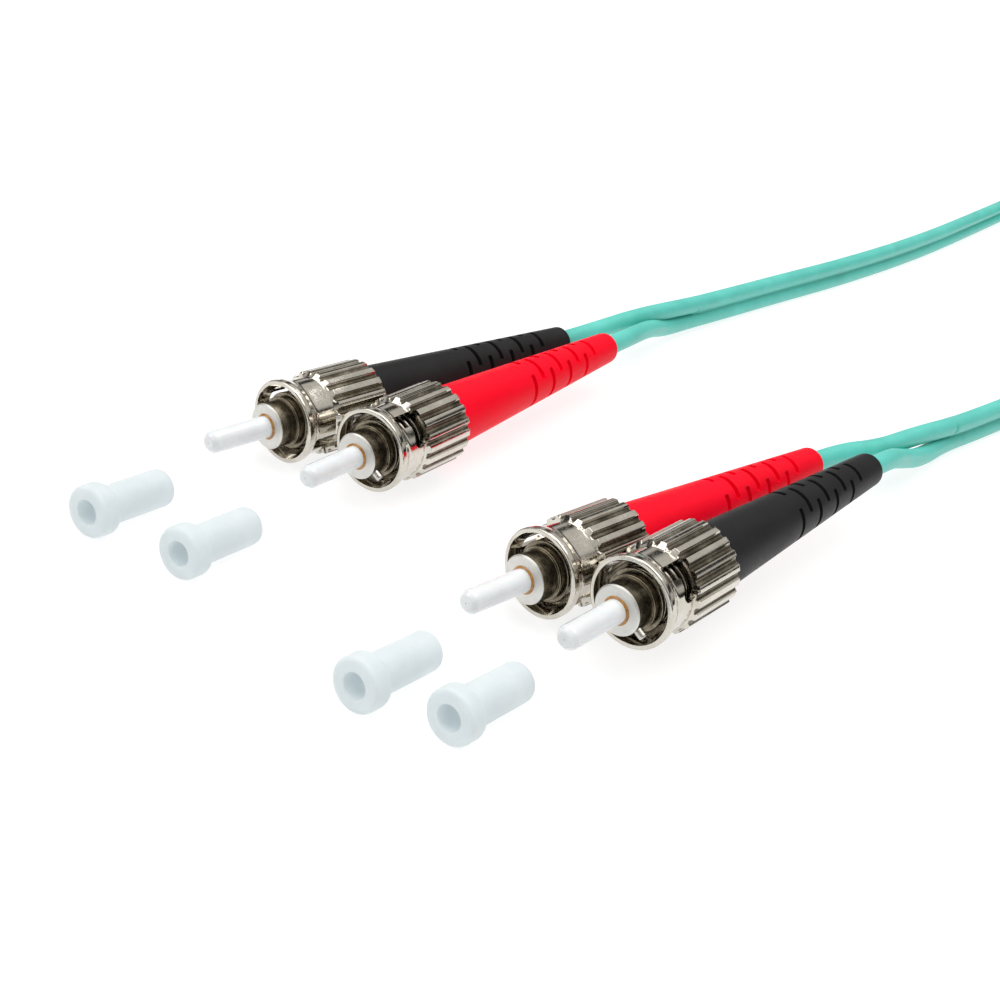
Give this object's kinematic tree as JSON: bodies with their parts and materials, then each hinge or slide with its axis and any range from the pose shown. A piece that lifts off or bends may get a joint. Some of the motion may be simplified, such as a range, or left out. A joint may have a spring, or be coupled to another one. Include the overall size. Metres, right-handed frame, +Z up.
{
  "type": "fiber optic patch cord",
  "caption": "Two-fiber aqua patch cord with round bayonet connectors at both ends, bend-relief boots and loose push-on dust caps.",
  "frame": {"origin": "on the table, below the centre of the box round the connectors and dust caps", "axes": "+Z up, +Y away from the viewer from the dust caps toward the cable, +X to the right"},
  "size_m": [0.2182, 0.2698, 0.0123],
  "materials": {
    "ceramic": "polished white zirconia ceramic",
    "epoxy": "cured amber epoxy",
    "fiber": "silica fiber in a soft buffer",
    "barrel_metal": "machined nickel-plated metal",
    "spring_steel": "drawn spring steel",
    "nickel": "bright nickel plating",
    "sleeve_metal": "crimped soft metal",
    "cap_plastic": "frosted translucent soft plastic",
    "boot_red": "satin moulded elastomer",
    "boot_black": "satin moulded elastomer",
    "jacket": "satin extruded jacket"
  },
  "bodies": {
    "cord": {"ferrule_a_red": "ceramic", "epoxy_ring_a_red": "epoxy", "fiber_a_red": "fiber", "ferrule_holder_a_red": "barrel_metal", "key_pin_a_red": "barrel_metal", "retaining_clip_a_red": "spring_steel", "crimp_body_a_red": "nickel", "crimp_sleeve_a_red": "sleeve_metal", "boot_a_red": "boot_red", "leg_a_red": "jacket", "ferrule_a_black": "ceramic", "epoxy_ring_a_black": "epoxy", "fiber_a_black": "fiber", "ferrule_holder_a_black": "barrel_metal", "key_pin_a_black": "barrel_metal", "retaining_clip_a_black": "spring_steel", "crimp_body_a_black": "nickel", "crimp_sleeve_a_black": "sleeve_metal", "boot_a_black": "boot_black", "leg_a_black": "jacket", "ferrule_b_red": "ceramic", "epoxy_ring_b_red": "epoxy", "fiber_b_red": "fiber", "ferrule_holder_b_red": "barrel_metal", "key_pin_b_red": "barrel_metal", "retaining_clip_b_red": "spring_steel", "crimp_body_b_red": "nickel", "crimp_sleeve_b_red": "sleeve_metal", "boot_b_red": "boot_red", "leg_b_red": "jacket", "ferrule_b_black": "ceramic", "epoxy_ring_b_black": "epoxy", "fiber_b_black": "fiber", "ferrule_holder_b_black": "barrel_metal", "key_pin_b_black": "barrel_metal", "retaining_clip_b_black": "spring_steel", "crimp_body_b_black": "nickel", "crimp_sleeve_b_black": "sleeve_metal", "boot_b_black": "boot_black", "leg_b_black": "jacket", "duplex_a": "jacket", "duplex_b": "jacket", "coil": "jacket"},
    "washer_a_red": {"thrust_washer_a_red": "spring_steel", "spring_a_red": "spring_steel"},
    "nut_a_red": {"coupling_nut_a_red": "nickel"},
    "cap_a_red": {"dust_cap_a_red": "cap_plastic"},
    "washer_a_black": {"thrust_washer_a_black": "spring_steel", "spring_a_black": "spring_steel"},
    "nut_a_black": {"coupling_nut_a_black": "nickel"},
    "cap_a_black": {"dust_cap_a_black": "cap_plastic"},
    "washer_b_red": {"thrust_washer_b_red": "spring_steel", "spring_b_red": "spring_steel"},
    "nut_b_red": {"coupling_nut_b_red": "nickel"},
    "cap_b_red": {"dust_cap_b_red": "cap_plastic"},
    "washer_b_black": {"thrust_washer_b_black": "spring_steel", "spring_b_black": "spring_steel"},
    "nut_b_black": {"coupling_nut_b_black": "nickel"},
    "cap_b_black": {"dust_cap_b_black": "cap_plastic"}
  },
  "joints": [
    {"name": "nut_push_a_red", "type": "slide", "parent": "cord", "child": "washer_a_red", "axis": [-0.493, -0.87, 0], "range_m": [0, 0.0023], "stiffness_N_per_m": 1500, "springref_m": -0.001, "deforming": ["spring_a_red"]},
    {"name": "nut_turn_a_red", "type": "hinge", "parent": "washer_a_red", "child": "nut_a_red", "pos_m": [-0.01354, 0.00187, 0.006], "axis": [0.493, 0.87, 0], "continuous": true},
    {"name": "cap_slide_a_red", "type": "slide", "parent": "cord", "child": "cap_a_red", "axis": [-0.4462, -0.8949, 0], "range_m": [-0.003, 0.012]},
    {"name": "nut_push_a_black", "type": "slide", "parent": "cord", "child": "washer_a_black", "axis": [-0.5811, -0.8138, 0], "range_m": [0, 0.0023], "stiffness_N_per_m": 1500, "springref_m": -0.001, "deforming": ["spring_a_black"]},
    {"name": "nut_turn_a_black", "type": "hinge", "parent": "washer_a_black", "child": "nut_a_black", "pos_m": [-0.02373, 0.00559, 0.0049], "axis": [0.5811, 0.8138, 0], "continuous": true},
    {"name": "cap_slide_a_black", "type": "slide", "parent": "cord", "child": "cap_a_black", "axis": [-0.4462, -0.8949, 0], "range_m": [-0.003, 0.012]},
    {"name": "nut_push_b_red", "type": "slide", "parent": "cord", "child": "washer_b_red", "axis": [-0.6299, -0.7767, 0], "range_m": [0, 0.0023], "stiffness_N_per_m": 1500, "springref_m": -0.001, "deforming": ["spring_b_red"]},
    {"name": "nut_turn_b_red", "type": "hinge", "parent": "washer_b_red", "child": "nut_b_red", "pos_m": [0.00779, -0.01389, 0.0049], "axis": [0.6299, 0.7767, 0], "continuous": true},
    {"name": "cap_slide_b_red", "type": "slide", "parent": "cord", "child": "cap_b_red", "axis": [-0.524, -0.8517, 0], "range_m": [-0.003, 0.012]},
    {"name": "nut_push_b_black", "type": "slide", "parent": "cord", "child": "washer_b_black", "axis": [-0.5757, -0.8176, 0], "range_m": [0, 0.0023], "stiffness_N_per_m": 1500, "springref_m": -0.001, "deforming": ["spring_b_black"]},
    {"name": "nut_turn_b_black", "type": "hinge", "parent": "washer_b_black", "child": "nut_b_black", "pos_m": [0.01627, -0.01909, 0.0074], "axis": [0.5757, 0.8176, 0], "continuous": true},
    {"name": "cap_slide_b_black", "type": "slide", "parent": "cord", "child": "cap_b_black", "axis": [-0.5446, -0.8387, 0], "range_m": [-0.003, 0.012]}
  ]
}
